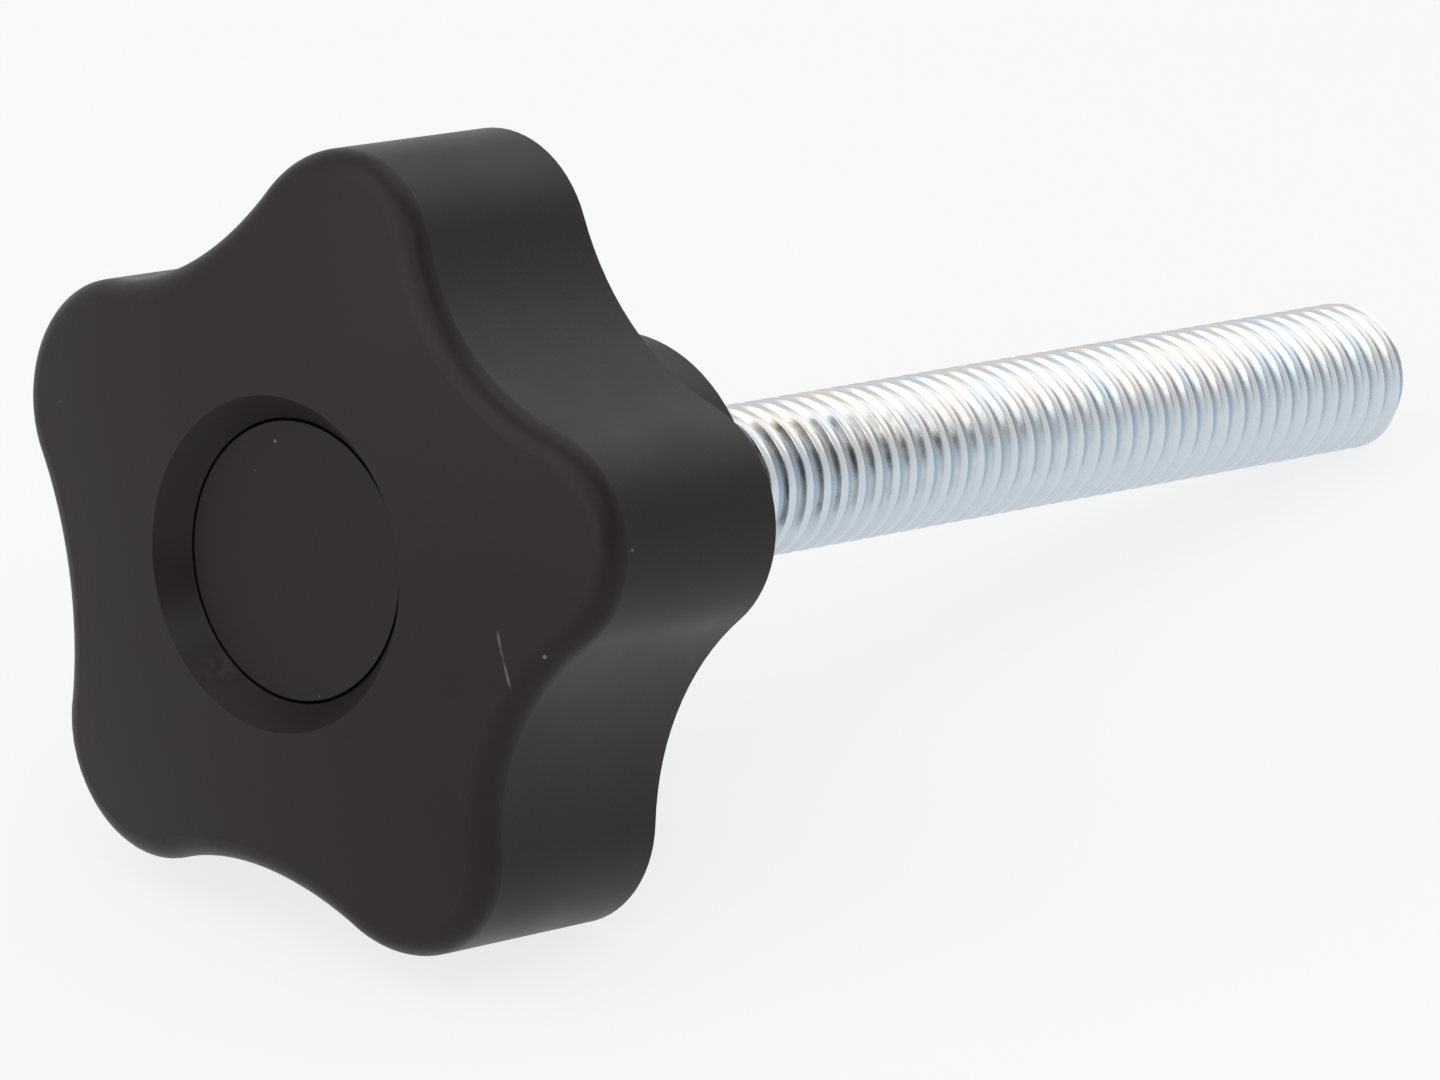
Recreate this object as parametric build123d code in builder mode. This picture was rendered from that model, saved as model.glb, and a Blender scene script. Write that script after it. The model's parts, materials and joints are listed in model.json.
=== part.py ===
# Star knob with a threaded stud and a cover cap. Millimetres, +Z up.
#
# The knob lies at rest: the rear edges of its two lowest lobes and the end of its stud touch Z = 0, and
# the stud points along +X, slightly down. The origin is under the middle of the part's bounding box.
# Depths are measured along the knob's axis, from the rim of the recess in the face towards the stud.

import os
from math import atan2, cos, degrees, pi, sin, sqrt

from build123d import *

# ---- driving dimensions ------------------------------------------------------------------------------

LOBES = 5
knob_radius = 15.07         # axis to the tip of a lobe
lobe_radius = 4.37          # round end of a lobe
valley_distance = 11.64     # axis to the bottom of a valley
face_drop = 1.44            # how far the domed face falls from the recess rim to the lobe tips
back_depth = 10.5           # recess rim to the back plane
front_edge_radius = 1.0
back_edge_chamfer = 0.35

recess_radius = 6.1
recess_depth = 1.11
cap_radius = 5.06
cap_gap = 0.12              # clearance all round the cap
cap_thickness = 1.2

hub_radius = 6.4
hub_depth = 19.3            # recess rim to the hub's end face
hub_edge_chamfer = 0.4
hub_mouth_chamfer = 0.45    # countersink that clears the start of the thread

core_depth = 7.0            # depth of the coring, from the back plane
# One side of a cored pocket, as distances along and across its lobe. The webs between are 1.6 wide.
core_corners = ((6.9, 4.0), (8.3, 5.0), (11.9, 2.2), (12.9, 1.0))

stud_radius = 2.95          # crests of an M6 thread
shank_radius = 2.67         # plain shank inside the hub, at the thread's pitch diameter
stud_length = 44.0          # what stands out of the hub
stud_chamfer = 0.9
collar_flats = 8.0
collar_length = 5.0
collar_depth = 6.2          # recess rim to the collar's inner end

# ---- values worked out from them ---------------------------------------------------------------------

above_dome = 1.0            # cuts start this far in front of the rim
past_lobes = 3.0            # and reach this far outside the lobes

lobe_step = 360 / LOBES
half_step = pi / LOBES
tip_centre = knob_radius - lobe_radius

# The valley arc touches the lobe arcs on both sides: its centre lies on the valley's line.
radius_gap = lobe_radius - valley_distance
valley_centre = (tip_centre**2 - radius_gap**2) / (2 * (radius_gap + tip_centre * cos(half_step)))
valley_radius = valley_centre - valley_distance

dome_radius = (knob_radius**2 - recess_radius**2) / (2 * face_drop)
dome_rise = dome_radius - sqrt(dome_radius**2 - recess_radius**2)
cap_seat_depth = recess_depth + cap_thickness
stud_end = hub_depth + stud_length

# Resting: the line from the lobes' back edge to the stud's lower end edge is the floor.
edge_depth = back_depth - back_edge_chamfer
edge_below_axis = tip_centre * cos(half_step) + lobe_radius
tip_depth = stud_end - stud_chamfer
rest_tilt = atan2(edge_below_axis - stud_radius, tip_depth - edge_depth)

# Height of the axis at depth 0, and the X that centres the part's length over the origin.
axis_height = stud_radius * cos(rest_tilt) + tip_depth * sin(rest_tilt)
tip_reach = stud_end * cos(rest_tilt) + (stud_radius - stud_chamfer) * sin(rest_tilt)
valley_edge = valley_distance - front_edge_radius
valley_face_depth = dome_radius - dome_rise - sqrt(dome_radius**2 - valley_edge**2)
face_reach = front_edge_radius - (front_edge_radius + valley_face_depth) * cos(rest_tilt)
face_reach += valley_edge * sin(rest_tilt)
axis_x = (face_reach - tip_reach) / 2

stud_direction = Vector(cos(rest_tilt), 0, -sin(rest_tilt))
up_lobe = Vector(sin(rest_tilt), 0, cos(rest_tilt))
rim = Plane(origin=(axis_x, 0, axis_height), x_dir=up_lobe, z_dir=stud_direction)

# A plane through the axis: its x runs outwards along the upper lobe, its y along the depth.
section = Plane(origin=rim.origin, x_dir=up_lobe, z_dir=up_lobe.cross(stud_direction))


# Where a lobe's arc meets a valley's, as an angle about the lobe's centre.
valley_rise = valley_centre * sin(half_step)
tangent_angle = degrees(atan2(valley_rise, valley_centre * cos(half_step) - tip_centre))
valley_arc = 2 * (tangent_angle - degrees(half_step))

knob_axis = Axis(rim.origin, stud_direction)

# ---- knob body ---------------------------------------------------------------------------------------

with BuildPart() as knob_body:
    # Star of tangent lobe and valley arcs, from the back plane up past the highest point of the dome.
    with BuildSketch(rim.offset(back_depth)):
        with BuildLine():
            for lobe in range(LOBES):
                turn = lobe * lobe_step
                tip = Vector(tip_centre, 0).rotate(Axis.Z, turn)
                hollow = Vector(valley_centre, 0).rotate(Axis.Z, turn + lobe_step / 2)
                CenterArc(tip, lobe_radius, turn - tangent_angle, 2 * tangent_angle)
                CenterArc(hollow, valley_radius, turn + 180 + tangent_angle, -valley_arc)
        make_face()
    extrude(amount=-(back_depth + above_dome))

    # Domed face: only what lies behind a large sphere is kept.
    with BuildSketch(section):
        with BuildLine():
            edge = knob_radius + past_lobes
            edge_drop = dome_radius - dome_rise - sqrt(dome_radius**2 - edge**2)
            Polyline((0, -dome_rise), (0, back_depth), (edge, back_depth), (edge, edge_drop))
            RadiusArc((edge, edge_drop), (0, -dome_rise), dome_radius)
        make_face()
    revolve(axis=knob_axis, mode=Mode.INTERSECT)

    face_edges = knob_body.faces().sort_by(knob_axis).first.edges()
    fillet(face_edges, front_edge_radius)
    back_edges = knob_body.faces().filter_by(rim).sort_by(knob_axis).last.edges()
    chamfer(back_edges, back_edge_chamfer)

    # Coring: a flat-walled pocket in each lobe, with a web left in each valley.
    other_side = [(along, -across) for along, across in reversed(core_corners)]
    with BuildSketch(rim.offset(back_depth)):
        with PolarLocations(0, LOBES):
            Polygon(*core_corners, *other_side, align=None)
    extrude(amount=-core_depth, mode=Mode.SUBTRACT)

    # Hub.
    with BuildSketch(rim.offset(back_depth - core_depth)):
        Circle(hub_radius)
    extrude(amount=hub_depth - back_depth + core_depth)
    hub_end_edges = knob_body.faces().filter_by(rim).sort_by(knob_axis).last.edges()
    chamfer(hub_end_edges, hub_edge_chamfer)

    # Conical recess and the seat of the cap.
    seat_radius = cap_radius + cap_gap
    with BuildSketch(section):
        with BuildLine():
            Polyline((0, -above_dome), (recess_radius, -above_dome), (recess_radius, 0),
                     (seat_radius, recess_depth), (seat_radius, cap_seat_depth),
                     (0, cap_seat_depth), close=True)
        make_face()
    revolve(axis=knob_axis, mode=Mode.SUBTRACT)

    # Hole that the moulded-in stud and its collar fill.
    with BuildSketch(rim.offset(collar_depth)):
        RegularPolygon(collar_flats / 2, 6, major_radius=False)
    extrude(amount=collar_length, mode=Mode.SUBTRACT)
    with BuildSketch(rim.offset(collar_depth)):
        Circle(shank_radius)
    extrude(amount=hub_depth - collar_depth, mode=Mode.SUBTRACT)
    mouth = knob_body.faces().filter_by(rim).sort_by(knob_axis).last.edges().sort_by(SortBy.RADIUS).first
    chamfer(mouth, hub_mouth_chamfer)
knob_body.part.label = "knob_body"

# ---- cover cap ---------------------------------------------------------------------------------------

with BuildPart() as cover_cap:
    with BuildSketch(rim.offset(recess_depth)):
        Circle(cap_radius)
    extrude(amount=cap_thickness)
cover_cap.part.label = "cover_cap"

# ---- threaded stud -----------------------------------------------------------------------------------

with BuildPart() as threaded_stud:
    with BuildSketch(rim.offset(collar_depth)):
        RegularPolygon(collar_flats / 2, 6, major_radius=False)
    extrude(amount=collar_length)
    with BuildSketch(rim.offset(collar_depth)):
        Circle(shank_radius)
    extrude(amount=hub_depth - collar_depth)
    with BuildSketch(rim.offset(hub_depth)):
        Circle(stud_radius)
    extrude(amount=stud_length)
    end_edge = threaded_stud.faces().filter_by(rim).sort_by(knob_axis).last.edges()
    chamfer(end_edge, stud_chamfer)
threaded_stud.part.label = "threaded_stud"

# ---- STEP files --------------------------------------------------------------------------------------

os.makedirs("parts", exist_ok=True)
export_step(knob_body.part, "parts/knob_body.step")
export_step(cover_cap.part, "parts/cover_cap.step")
export_step(threaded_stud.part, "parts/threaded_stud.step")
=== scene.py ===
"""Star knob: finishes for the moulded grip and its cap, a stud with a real thread, and a plain stage."""

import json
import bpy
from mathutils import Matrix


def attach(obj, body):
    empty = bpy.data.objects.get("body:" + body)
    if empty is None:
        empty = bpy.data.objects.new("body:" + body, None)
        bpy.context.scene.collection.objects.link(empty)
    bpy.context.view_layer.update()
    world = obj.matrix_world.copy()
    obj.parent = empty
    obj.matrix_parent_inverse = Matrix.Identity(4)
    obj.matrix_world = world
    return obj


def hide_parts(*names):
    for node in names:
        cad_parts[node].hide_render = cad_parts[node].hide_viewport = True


bl_info = {
    "name": "Star Knob",
    "version": (1, 0, 0),
    "blender": (4, 5, 0),
    "location": "View3D > Sidebar > Star Knob",
    "description": "Finishes a star knob on its packed frame, threads its stud and sets a plain stage",
    "category": "Add Mesh",
}

from math import cos, pi, radians, sin, tau

import bpy
from bpy.props import FloatProperty, FloatVectorProperty, IntProperty, PointerProperty
from mathutils import Euler, Matrix, Vector

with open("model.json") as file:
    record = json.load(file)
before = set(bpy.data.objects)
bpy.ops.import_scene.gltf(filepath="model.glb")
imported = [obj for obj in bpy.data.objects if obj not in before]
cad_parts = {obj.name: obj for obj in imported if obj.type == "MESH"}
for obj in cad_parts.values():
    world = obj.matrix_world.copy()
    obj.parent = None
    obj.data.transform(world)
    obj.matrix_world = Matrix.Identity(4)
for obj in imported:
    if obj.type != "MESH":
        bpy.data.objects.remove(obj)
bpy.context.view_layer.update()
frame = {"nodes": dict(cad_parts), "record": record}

MM = 0.001
STUD_MOUNT = next(m for m in frame["record"]["mounts"] if m["name"] == "stud")
ALONG = Vector(STUD_MOUNT["axis"]).normalized()
HUB_FACE = Vector(STUD_MOUNT["pos_m"]) - ALONG * (STUD_MOUNT["dims"]["length_mm"] * MM / 2)


def depths(node):
    """Nearest and furthest reach of a CAD node along the knob's axis, counted from the hub's face."""
    along = [(vertex.co - HUB_FACE).dot(ALONG) for vertex in frame["nodes"][node].data.vertices]
    return min(along), max(along)


def knob_place():
    """Matrix from the knob's own axes to the frame.

    The origin is in the middle of the recess's rim. X points to the upper lobe and Z along the stud.
    """
    up_lobe = Vector((-ALONG.z, 0, ALONG.x))
    axes = Matrix((up_lobe, ALONG.cross(up_lobe), ALONG)).transposed()
    return Matrix.Translation(HUB_FACE + ALONG * depths("knob_body")[0]) @ axes.to_4x4()


PLACE = knob_place()

# Depths along the knob's axis, counted from the recess's rim.
HUB_DEPTH = -depths("knob_body")[0]
STUD_START, STUD_END = (HUB_DEPTH + depth for depth in depths("threaded_stud"))

# Modelling
FLANK_RUN = 0.5774              # how far a flank runs along for each unit it falls: tangent of 30 degrees
TURNS_BEFORE = 2.3              # the thread starts this many pitches early, and is cut back
SPARE_TURNS = 5                 # turns beyond the stud's length, cut off at both ends
MERGE_DISTANCE = 0.0005 * MM
CUT_THRESHOLD = 0.0001 * MM
SMOOTH_ANGLE = radians(40)

# Stage
LAMP_DISTANCE = 0.6             # metres from the knob to each softbox
FLOOR_GLOW = 0.8                # how much of the floor that is seen is plain white
DIM_TURN = radians(20)          # middle of the dim side: this far round from the camera,
DIM_HEIGHT = radians(46)        # and this high
DIM_OUTSIDE, DIM_INSIDE = 0.78, 0.93    # cosines of the angles at which it starts and is fully dim

# Name, turn from the camera and elevation in degrees, size in metres, watts
SOFTBOXES = (
    ("left_softbox", -53, 36, 0.70, 1.75),
    ("back_softbox", 140, 29, 0.40, 0.30),
    ("overhead_softbox", 150, 75, 0.35, 0.4),
    ("front_softbox", 10, 50, 0.25, 0.4),
)


# ---- sizes and colours a user would change -----------------------------------------------------------


def length(name, description, millimetres):
    """A length property, its default given in millimetres."""
    return FloatProperty(name=name, description=description, default=millimetres * MM, min=0.0,
                         unit="LENGTH", precision=5)


def colour(name, description, value):
    """A colour property."""
    return FloatVectorProperty(name=name, description=description, default=value, size=4, min=0.0,
                               max=1.0, subtype="COLOR")


class StarKnobStud(bpy.types.PropertyGroup):
    """Sizes of the threaded stud"""

    radius: length("Crest radius", "Axis to the crests of the thread", STUD_MOUNT["dims"]["r_mm"])
    pitch: length("Pitch", "From one crest to the next", 1.0)
    thread_depth: length("Thread depth", "From crest to root", 0.50)
    crest_flat: length("Crest flat", "Width of the flat on a crest", 0.32)
    crest_round: length("Crest rounding", "Height of the rounding beside the flat", 0.05)
    root_round: length("Root rounding", "Height of the rounding in the root", 0.066)
    chamfer: length("End chamfer", "Chamfer on the far end", 0.9)
    collar_flats: length("Collar flats", "Across the flats of the collar inside the hub", 8.0)
    collar_length: length("Collar length", "Length of that collar", 5.0)
    shank_radius: length("Shank radius", "Plain shank inside the hub", 2.67)
    steps: IntProperty(name="Steps", description="Segments in a turn of thread", default=84, min=12)
    chamfer_flats: IntProperty(name="Chamfer flats", description="Flats round the end chamfer", default=42,
                               min=12)


class StarKnobFinish(bpy.types.PropertyGroup):
    """Colours of the finishes"""

    plastic: colour("Grip plastic", "Black moulded grip", (0.0114, 0.0062, 0.0074, 1.0))
    cap_plastic: colour("Cap plastic", "Black cover cap", (0.0092, 0.0044, 0.0054, 1.0))
    pale_mark: colour("Pale mark", "Scratch and dust specks", (0.16, 0.15, 0.15, 1.0))
    scuff: colour("Scuff", "Yellowish rub in the recess", (0.075, 0.060, 0.035, 1.0))
    zinc_blue: colour("Blue zinc", "Passivated zinc, most of the stud", (0.62, 0.69, 0.76, 1.0))
    # This warm colour is painted only on the top of the stud, where the highlight falls: a painted
    # highlight tint, in patches of the passivation's uneven tone.
    warm_zinc_and_highlight_tint: colour("Warm zinc", "Warm cast in the passivation", (0.75, 0.71, 0.66, 1.0))


class StarKnobStage(bpy.types.PropertyGroup):
    """Camera, floor and light"""

    azimuth: FloatProperty(name="Azimuth", description="0 looks along +Y", default=radians(-47.73),
                           subtype="ANGLE")
    elevation: FloatProperty(name="Elevation", description="Camera above the horizon",
                             default=radians(23.42), subtype="ANGLE")
    roll: FloatProperty(name="Roll", description="Turn about the line of sight",
                        default=radians(0.5), subtype="ANGLE")
    distance: length("Distance", "Camera to the point it looks at", 364.4)
    look_at: FloatVectorProperty(name="Look at", description="Point in the middle of the picture",
                                 default=(-0.0196, -0.0116, 0.0154), subtype="TRANSLATION")
    lens: FloatProperty(name="Lens", description="Focal length in mm on a 36 mm sensor", default=254.8,
                        unit="CAMERA")
    floor_size: length("Floor size", "Side of the square floor", 6000.0)
    sky: FloatProperty(name="Sky", description="Strength of the even sky", default=0.5, min=0.0)
    dim_side: FloatProperty(name="Dim side", description="How bright the room looks high in front",
                            default=0.15, min=0.0)


# ---- modelling ----------------------------------------------------------------------------------------


def deselect():
    """Leave edit mode, with nothing selected."""
    if bpy.context.object and bpy.context.object.mode != "OBJECT":
        bpy.ops.object.mode_set(mode="OBJECT")
    bpy.ops.object.select_all(action="DESELECT")


def only(piece):
    """Make one object the selected and active one."""
    deselect()
    piece.select_set(True)
    bpy.context.view_layer.objects.active = piece


def cylinder(radius, start, end, sides, turn=0.0):
    """A cylinder or prism about Z, from one depth to another."""
    deselect()
    bpy.ops.mesh.primitive_cylinder_add(vertices=sides, radius=radius, depth=end - start,
                                        location=(0, 0, (start + end) / 2), rotation=(0, 0, turn))
    return bpy.context.object


def combine(piece, other, operation):
    """Boolean of two pieces, kept in the first. The second is deleted."""
    only(piece)
    boolean = piece.modifiers.new(operation.lower(), "BOOLEAN")
    boolean.object = other
    boolean.operation = operation
    boolean.solver = "EXACT"
    bpy.ops.object.modifier_apply(modifier=boolean.name)
    only(other)
    bpy.ops.object.delete()


def refuse_open(piece):
    """Stop if a piece isn't a closed mesh."""
    only(piece)
    bpy.ops.object.mode_set(mode="EDIT")
    bpy.ops.mesh.select_all(action="DESELECT")
    bpy.ops.mesh.select_mode(type="EDGE")
    bpy.ops.mesh.select_non_manifold(extend=False)
    bpy.ops.object.mode_set(mode="OBJECT")
    loose = sum(edge.select for edge in piece.data.edges)
    if loose:
        raise RuntimeError(f"{piece.name} has {loose} open edges")


def thread_profile(stud):
    """Steps (outwards, along) of one pitch of thread, from the middle of a crest to the next.

    Each rounding is two straight steps, given as shares of its height and width.
    """
    flat = stud.crest_flat / 2
    crest = stud.crest_round
    root = stud.root_round
    flank = stud.thread_depth - crest - root
    half_root = stud.pitch / 2 - flat - crest - flank * FLANK_RUN
    down = [(0, flat), (-crest * 0.27, crest * 0.55), (-crest * 0.73, crest * 0.45),
            (-flank, flank * FLANK_RUN), (-root * 0.65, half_root * 0.4), (-root * 0.35, half_root * 0.6)]
    return down + [(-outwards, along) for outwards, along in reversed(down)]


def threaded_rod(stud, start, end):
    """A threaded rod about Z: the profile of one pitch is extruded, screwed up and cut flat."""
    deselect()
    bpy.ops.mesh.primitive_plane_add(size=MM)
    rod = bpy.context.object
    rod.name = rod.data.name = "stud"
    bpy.ops.object.mode_set(mode="EDIT")
    bpy.ops.mesh.select_mode(type="VERT")
    bpy.ops.mesh.merge(type="CENTER")
    bpy.ops.transform.translate(value=(stud.radius, 0, start - TURNS_BEFORE * stud.pitch))
    for outwards, along in thread_profile(stud):
        bpy.ops.mesh.extrude_region_move(TRANSFORM_OT_translate={"value": (outwards, 0, along)})
    bpy.ops.object.mode_set(mode="OBJECT")
    screw = rod.modifiers.new("thread", "SCREW")
    screw.axis = "Z"
    screw.angle = tau
    screw.screw_offset = stud.pitch
    screw.iterations = round((end - start) / stud.pitch) + SPARE_TURNS
    screw.steps = screw.render_steps = stud.steps
    bpy.ops.object.modifier_apply(modifier=screw.name)
    bpy.ops.object.mode_set(mode="EDIT")
    bpy.ops.mesh.select_all(action="SELECT")
    bpy.ops.mesh.remove_doubles(threshold=MERGE_DISTANCE)
    cut(Vector((0, 0, start)), Vector((0, 0, -1)))
    cut(Vector((0, 0, end)), Vector((0, 0, 1)))
    chamfer_end(stud, end)
    bpy.ops.mesh.select_all(action="SELECT")
    bpy.ops.mesh.normals_make_consistent(inside=False)
    bpy.ops.object.mode_set(mode="OBJECT")
    return rod


def cut(point, outwards):
    """Cut the mesh being edited by a plane and close it, with what lies outwards taken away."""
    bpy.ops.mesh.select_all(action="SELECT")
    bpy.ops.mesh.bisect(plane_co=point, plane_no=outwards, use_fill=True, clear_outer=True,
                        threshold=CUT_THRESHOLD)


def chamfer_end(stud, end):
    """File a 45 degree chamfer round the thread's far end, one narrow flat after another."""
    for flat in range(stud.chamfer_flats):
        turn = tau * flat / stud.chamfer_flats
        side = Vector((cos(turn), sin(turn), 0))
        cut(side * stud.radius + Vector((0, 0, end - stud.chamfer)), side + Vector((0, 0, 1)))


def cover(node, material):
    """Put a material in every slot of a CAD node."""
    if not node.material_slots:
        raise RuntimeError(f"{node.name} has no material slot")
    for slot in node.material_slots:
        slot.material = material


class STARKNOB_OT_stud(bpy.types.Operator):
    """Model the stud with its helical thread, chamfered end, and the collar inside the hub"""

    bl_idname = "star_knob.stud"
    bl_label = "Threaded stud"

    def execute(self, context):
        stud = context.scene.star_knob_stud
        shank_end = STUD_START + stud.collar_length
        collar = cylinder(stud.collar_flats / 2 / cos(pi / 6), STUD_START, shank_end, 6)
        middle = (STUD_START + shank_end) / 2
        combine(collar, cylinder(stud.shank_radius, middle, HUB_DEPTH, stud.steps), "UNION")
        # The thread starts a quarter of a pitch inside the hub, in its countersink.
        rod = threaded_rod(stud, HUB_DEPTH - stud.pitch / 4, STUD_END)
        only(rod)
        collar.select_set(True)
        bpy.ops.object.join()
        refuse_open(rod)
        only(rod)
        bpy.ops.object.shade_smooth_by_angle(angle=SMOOTH_ANGLE)
        rod.matrix_world = PLACE
        bpy.ops.object.transform_apply(location=True, rotation=True, scale=True)
        rod.data.materials.append(zinc_finish(context.scene.star_knob_finish))
        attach(rod, "root")
        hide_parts("threaded_stud")
        return {"FINISHED"}


class STARKNOB_OT_grip(bpy.types.Operator):
    """Give the moulded grip its finely eroded black plastic, with light wear"""

    bl_idname = "star_knob.grip"
    bl_label = "Grip finish"

    def execute(self, context):
        finish = context.scene.star_knob_finish
        cover(frame["nodes"]["knob_body"], plastic_finish("grip_plastic", finish.plastic, worn=True))
        return {"FINISHED"}


class STARKNOB_OT_cap(bpy.types.Operator):
    """Give the cover cap its black plastic"""

    bl_idname = "star_knob.cap"
    bl_label = "Cap finish"

    def execute(self, context):
        finish = context.scene.star_knob_finish
        cover(frame["nodes"]["cover_cap"], plastic_finish("cap_plastic", finish.cap_plastic, worn=False))
        return {"FINISHED"}


# ---- finishes -------------------------------------------------------------------------------------------


class Finish:
    """A material being wired: short calls for the nodes it needs."""

    def __init__(self, name):
        self.material = bpy.data.materials.new(name)
        self.material.use_nodes = True
        self.tree = self.material.node_tree
        self.tree.nodes.clear()
        self.shader = self.add("ShaderNodeBsdfPrincipled")
        self.output = self.add("ShaderNodeOutputMaterial")
        self.link(self.shader.outputs[0], self.output.inputs["Surface"])

    def add(self, kind, **settings):
        """Add a node and give its settings."""
        node = self.tree.nodes.new(kind)
        for key, value in settings.items():
            setattr(node, key, value)
        return node

    def link(self, out_socket, in_socket):
        """Wire one socket to another."""
        self.tree.links.new(out_socket, in_socket)

    def math(self, operation, *values):
        """A Math node's result. Each value is a socket or a number."""
        node = self.add("ShaderNodeMath", operation=operation)
        for socket, value in zip(node.inputs, values):
            if isinstance(value, (int, float)):
                socket.default_value = value
            else:
                self.link(value, socket)
        return node.outputs[0]

    def own_axes(self, offset=(0, 0, 0), turn=0.0):
        """Object coordinates in the knob's own axes, moved to a point on it and turned about Z."""
        place = PLACE @ Matrix.Translation(offset) @ Matrix.Rotation(turn, 4, "Z")
        mapping = self.add("ShaderNodeMapping", vector_type="TEXTURE")
        mapping.inputs["Location"].default_value = place.translation
        mapping.inputs["Rotation"].default_value = place.to_euler()
        self.link(self.add("ShaderNodeTexCoord").outputs["Object"], mapping.inputs["Vector"])
        return mapping.outputs["Vector"]

    def noise(self, vector, scale, detail=2.0):
        """A Noise texture's value."""
        noise = self.add("ShaderNodeTexNoise")
        noise.inputs["Scale"].default_value = scale
        noise.inputs["Detail"].default_value = detail
        self.link(vector, noise.inputs["Vector"])
        return noise.outputs["Fac"]

    def between(self, value, low, high, out_low=0.0, out_high=1.0):
        """Spread a value over a range, clamped. Low above high turns it round."""
        node = self.add("ShaderNodeMapRange")
        for socket, number in zip(node.inputs[1:5], (low, high, out_low, out_high)):
            socket.default_value = number
        self.link(value, node.inputs["Value"])
        return node.outputs["Result"]

    def blend(self, share, first, second):
        """Mix two colours, each a socket or a colour, by a share."""
        # The node's sockets 6 and 7 and its output 2 are those for colours.
        node = self.add("ShaderNodeMix", data_type="RGBA")
        self.link(share, node.inputs["Factor"])
        for socket, value in ((node.inputs[6], first), (node.inputs[7], second)):
            if isinstance(value, bpy.types.NodeSocket):
                self.link(value, socket)
            else:
                socket.default_value = value
        return node.outputs[2]

    def bump(self, height, strength, distance):
        """Give the shader a bump."""
        node = self.add("ShaderNodeBump")
        node.inputs["Strength"].default_value = strength
        node.inputs["Distance"].default_value = distance
        self.link(height, node.inputs["Height"])
        self.link(node.outputs["Normal"], self.shader.inputs["Normal"])


def tinted(base, factor):
    """A lighter or darker version of a colour."""
    return (base[0] * factor, base[1] * factor, base[2] * factor, 1.0)


def plastic_finish(name, base, worn):
    """Black moulded plastic: fine grain, faint mottling and dust, and on the grip a scratch and a rub."""
    colours = bpy.context.scene.star_knob_finish
    finish = Finish(name)
    own = finish.own_axes()
    mottle = finish.noise(own, 260.0, 3.0)
    tone = finish.blend(mottle, tinted(base, 0.88), tinted(base, 1.12))

    # Dust: the middles of a few scattered cells.
    cells = finish.add("ShaderNodeTexVoronoi")
    cells.inputs["Scale"].default_value = 700.0
    finish.link(own, cells.inputs["Vector"])
    picked = finish.add("ShaderNodeSeparateColor")
    finish.link(cells.outputs["Color"], picked.inputs[0])
    dust = finish.math("MULTIPLY", finish.between(picked.outputs[0], 0.78, 0.79),
                       finish.between(cells.outputs["Distance"], 0.07, 0.04))
    tone = finish.blend(dust, tone, colours.pale_mark)
    if worn:
        tone = hairline(finish, own, tone, colours.pale_mark)
        tone = rub(finish, own, tone, colours.scuff)
    finish.link(tone, finish.shader.inputs["Base Color"])
    finish.link(finish.between(mottle, 0.3, 0.7, 0.37, 0.45), finish.shader.inputs["Roughness"])
    finish.shader.inputs["Specular IOR Level"].default_value = 0.26
    finish.bump(finish.noise(own, 7000.0), 0.35, 0.012 * MM)
    return finish.material


def hairline(finish, own, tone, pale):
    """A broken hairline scratch on the face, beside the recess: about 2 mm long and 0.1 mm wide."""
    middle = (-0.6 * MM, 10.77 * MM, 0.5 * MM)
    place = finish.add("ShaderNodeSeparateXYZ")
    finish.link(finish.own_axes(middle, radians(-23)), place.inputs[0])
    wander = finish.math("MULTIPLY", finish.math("SUBTRACT", finish.noise(own, 900.0), 0.5), 0.12 * MM)
    side = finish.math("ABSOLUTE", finish.math("ADD", place.outputs["Y"], wander))
    mark = finish.math("MULTIPLY", finish.between(side, 0.07 * MM, 0.02 * MM),
                       finish.between(finish.math("ABSOLUTE", place.outputs["X"]), 1.1 * MM, 0.8 * MM))
    near = finish.between(finish.math("ABSOLUTE", place.outputs["Z"]), 1.2 * MM, 1.0 * MM)
    broken = finish.between(finish.noise(own, 1500.0), 0.36, 0.50, 0.1, 0.7)
    mark = finish.math("MULTIPLY", mark, finish.math("MULTIPLY", near, broken))
    return finish.blend(mark, tone, pale)


def rub(finish, own, tone, scuff):
    """A small yellowish rub on the recess's wall, under 2 mm across."""
    middle = (-4.4 * MM, -2.6 * MM, 0.5 * MM)
    away = finish.add("ShaderNodeVectorMath", operation="LENGTH")
    finish.link(finish.own_axes(middle), away.inputs[0])
    mark = finish.math("MULTIPLY", finish.between(away.outputs["Value"], 0.9 * MM, 0.2 * MM),
                       finish.between(finish.noise(own, 2600.0, 3.0), 0.45, 0.62, 0.0, 0.40))
    return finish.blend(mark, tone, scuff)


def zinc_finish(colours):
    """Bright zinc plating: bluish, with a fine crystalline grain, and warm patches on top only: a painted
    warm highlight tint where the highlight falls, in patches of the passivation's uneven tone.
    """
    finish = Finish("zinc_steel")
    own = finish.own_axes()
    place = finish.add("ShaderNodeSeparateXYZ")
    finish.link(own, place.inputs[0])
    # Painted highlight tint: the warm patches are kept to the top of the stud, where the highlight falls.
    # Their patchiness is the passivation's uneven tone.
    cast = finish.math("MULTIPLY", finish.between(finish.noise(own, 420.0), 0.36, 0.62),
                       finish.between(place.outputs["X"], 0.7 * MM, 2.3 * MM))
    finish.link(finish.blend(cast, colours.zinc_blue, colours.warm_zinc_and_highlight_tint),
                finish.shader.inputs["Base Color"])
    finish.shader.inputs["Metallic"].default_value = 1.0
    finish.link(finish.between(finish.noise(own, 1100.0, 4.0), 0.3, 0.7, 0.19, 0.32),
                finish.shader.inputs["Roughness"])
    finish.bump(finish.noise(own, 4200.0, 3.0), 0.30, 0.010 * MM)
    return finish.material


# ---- stage --------------------------------------------------------------------------------------------


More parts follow.
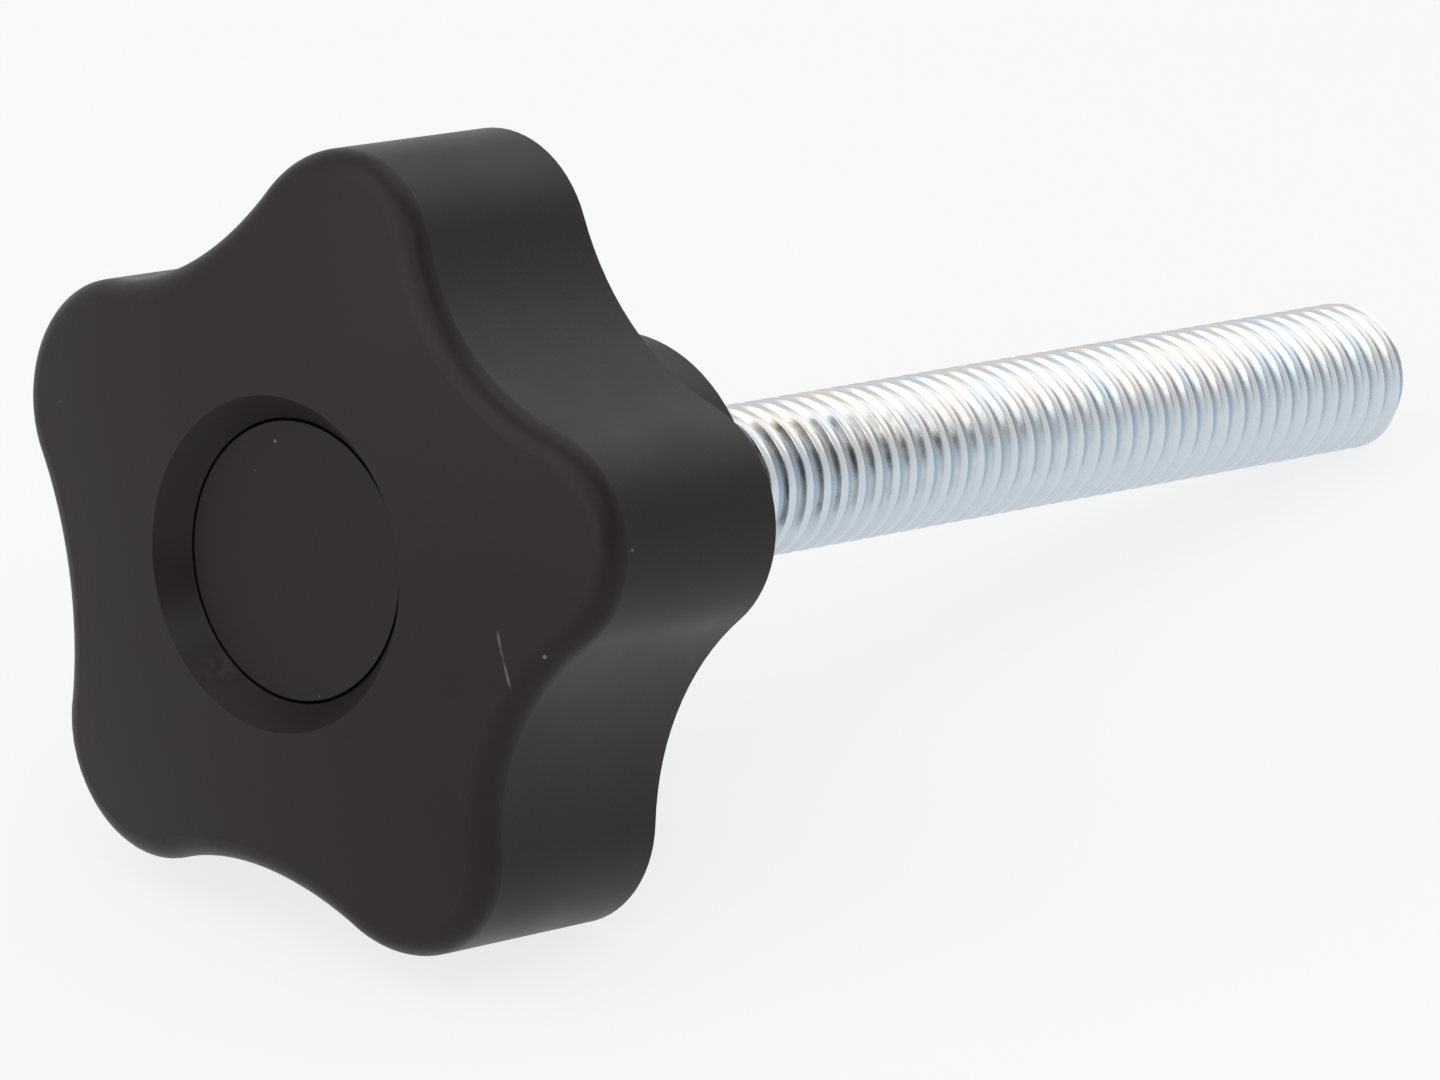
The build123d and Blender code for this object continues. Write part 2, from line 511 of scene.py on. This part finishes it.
def set_camera(stage):
    """A long lens on a sphere round the point it looks at."""
    deselect()
    bpy.ops.object.camera_add()
    camera = bpy.context.object
    camera.data.lens = stage.lens
    camera.data.sensor_width = 36
    camera.data.clip_start = 0.01
    camera.data.clip_end = 20
    turn = Euler((pi / 2 - stage.elevation, 0, stage.azimuth)).to_matrix()
    turn = turn @ Matrix.Rotation(-stage.roll, 3, "Z")
    away = turn @ Vector((0, 0, stage.distance))
    camera.matrix_world = Matrix.Translation(Vector(stage.look_at) + away) @ turn.to_4x4()
    bpy.context.scene.camera = camera


def towards(azimuth, elevation):
    """The direction from the knob to a place in the room."""
    level = cos(elevation)
    return Vector((sin(azimuth) * level, -cos(azimuth) * level, sin(elevation)))


def softbox(name, azimuth, elevation, size, watts):
    """A square soft light that faces the knob."""
    direction = towards(azimuth, elevation)
    deselect()
    bpy.ops.object.light_add(type="AREA", location=direction * LAMP_DISTANCE,
                             rotation=direction.to_track_quat("Z", "Y").to_euler())
    lamp = bpy.context.object
    lamp.name = lamp.data.name = name
    lamp.data.size = size
    lamp.data.energy = watts


def seen_directly(nodes, links):
    """A socket that is 1 for what the camera sees, itself or in a reflection, and 0 for light."""
    path = nodes.new("ShaderNodeLightPath")
    seen = path.outputs["Is Camera Ray"]
    for ray in ("Is Glossy Ray", "Is Transmission Ray"):
        either = nodes.new("ShaderNodeMath")
        either.operation = "MAXIMUM"
        links.new(seen, either.inputs[0])
        links.new(path.outputs[ray], either.inputs[1])
        seen = either.outputs[0]
    return seen


def lay_floor(stage):
    """A pale floor that keeps the knob's soft shadow and is white around it."""
    deselect()
    bpy.ops.mesh.primitive_plane_add(size=stage.floor_size)
    floor = bpy.context.object
    floor.name = "floor"
    finish = Finish("floor_white")
    finish.shader.inputs["Base Color"].default_value = (0.90, 0.90, 0.90, 1.0)
    finish.shader.inputs["Roughness"].default_value = 1.0
    finish.shader.inputs["Specular IOR Level"].default_value = 0.0
    glow = finish.add("ShaderNodeEmission")
    seen = seen_directly(finish.tree.nodes, finish.tree.links)
    mix = finish.add("ShaderNodeMixShader")
    finish.link(finish.math("MULTIPLY", seen, FLOOR_GLOW), mix.inputs[0])
    finish.link(finish.shader.outputs[0], mix.inputs[1])
    finish.link(glow.outputs[0], mix.inputs[2])
    finish.link(mix.outputs[0], finish.output.inputs["Surface"])
    floor.data.materials.append(finish.material)


def light_room(stage):
    """An even sky, four softboxes, and a room that looks white all round but is dim high in front."""
    world = bpy.data.worlds.new("studio")
    bpy.context.scene.world = world
    world.use_nodes = True
    nodes, links = world.node_tree.nodes, world.node_tree.links
    nodes.clear()
    even = nodes.new("ShaderNodeBackground")
    even.inputs["Strength"].default_value = stage.sky
    nearness = nodes.new("ShaderNodeVectorMath")
    nearness.operation = "DOT_PRODUCT"
    nearness.inputs[1].default_value = towards(stage.azimuth + DIM_TURN, DIM_HEIGHT)
    links.new(nodes.new("ShaderNodeTexCoord").outputs["Generated"], nearness.inputs[0])
    fade = nodes.new("ShaderNodeMapRange")
    for socket, value in zip(fade.inputs[1:5], (DIM_OUTSIDE, DIM_INSIDE, 1.0, stage.dim_side)):
        socket.default_value = value
    links.new(nearness.outputs["Value"], fade.inputs["Value"])
    room = nodes.new("ShaderNodeBackground")
    links.new(fade.outputs["Result"], room.inputs["Strength"])
    mix = nodes.new("ShaderNodeMixShader")
    links.new(seen_directly(nodes, links), mix.inputs[0])
    links.new(even.outputs[0], mix.inputs[1])
    links.new(room.outputs[0], mix.inputs[2])
    links.new(mix.outputs[0], nodes.new("ShaderNodeOutputWorld").inputs["Surface"])
    for name, turn, elevation, size, watts in SOFTBOXES:
        softbox(name, stage.azimuth + radians(turn), radians(elevation), size, watts)


class STARKNOB_OT_stage(bpy.types.Operator):
    """Set up the camera, the pale floor and the soft light"""

    bl_idname = "star_knob.stage"
    bl_label = "Stage"

    def execute(self, context):
        stage = context.scene.star_knob_stage
        set_camera(stage)
        lay_floor(stage)
        light_room(stage)
        context.scene.view_settings.view_transform = "Standard"
        return {"FINISHED"}


# ---- panel and registration --------------------------------------------------------------------------


class STARKNOB_PT_panel(bpy.types.Panel):
    """The knob's pieces, with their sizes and colours"""

    bl_idname = "STARKNOB_PT_panel"
    bl_label = "Star Knob"
    bl_space_type = "VIEW_3D"
    bl_region_type = "UI"
    bl_category = "Star Knob"

    def draw(self, context):
        for operator in OPERATORS:
            self.layout.operator(operator.bl_idname)
        for name in GROUPS:
            group = getattr(context.scene, name)
            box = self.layout.box()
            for key in group.__annotations__:
                box.prop(group, key)


OPERATORS = (STARKNOB_OT_grip, STARKNOB_OT_cap, STARKNOB_OT_stud, STARKNOB_OT_stage)
GROUPS = {
    "star_knob_stud": StarKnobStud,
    "star_knob_finish": StarKnobFinish,
    "star_knob_stage": StarKnobStage,
}


def register():
    """Register the properties, the operators and the panel."""
    for name, group in GROUPS.items():
        bpy.utils.register_class(group)
        setattr(bpy.types.Scene, name, PointerProperty(type=group))
    for operator in OPERATORS:
        bpy.utils.register_class(operator)
    bpy.utils.register_class(STARKNOB_PT_panel)


def unregister():
    """Take away all that register added."""
    bpy.utils.unregister_class(STARKNOB_PT_panel)
    for operator in reversed(OPERATORS):
        bpy.utils.unregister_class(operator)
    for name, group in reversed(GROUPS.items()):
        delattr(bpy.types.Scene, name)
        bpy.utils.unregister_class(group)


def main():
    """Build and finish the knob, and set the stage."""
    register()
    bpy.ops.star_knob.grip()
    bpy.ops.star_knob.cap()
    bpy.ops.star_knob.stud()
    bpy.ops.star_knob.stage()


if __name__ == "__main__":
    main()
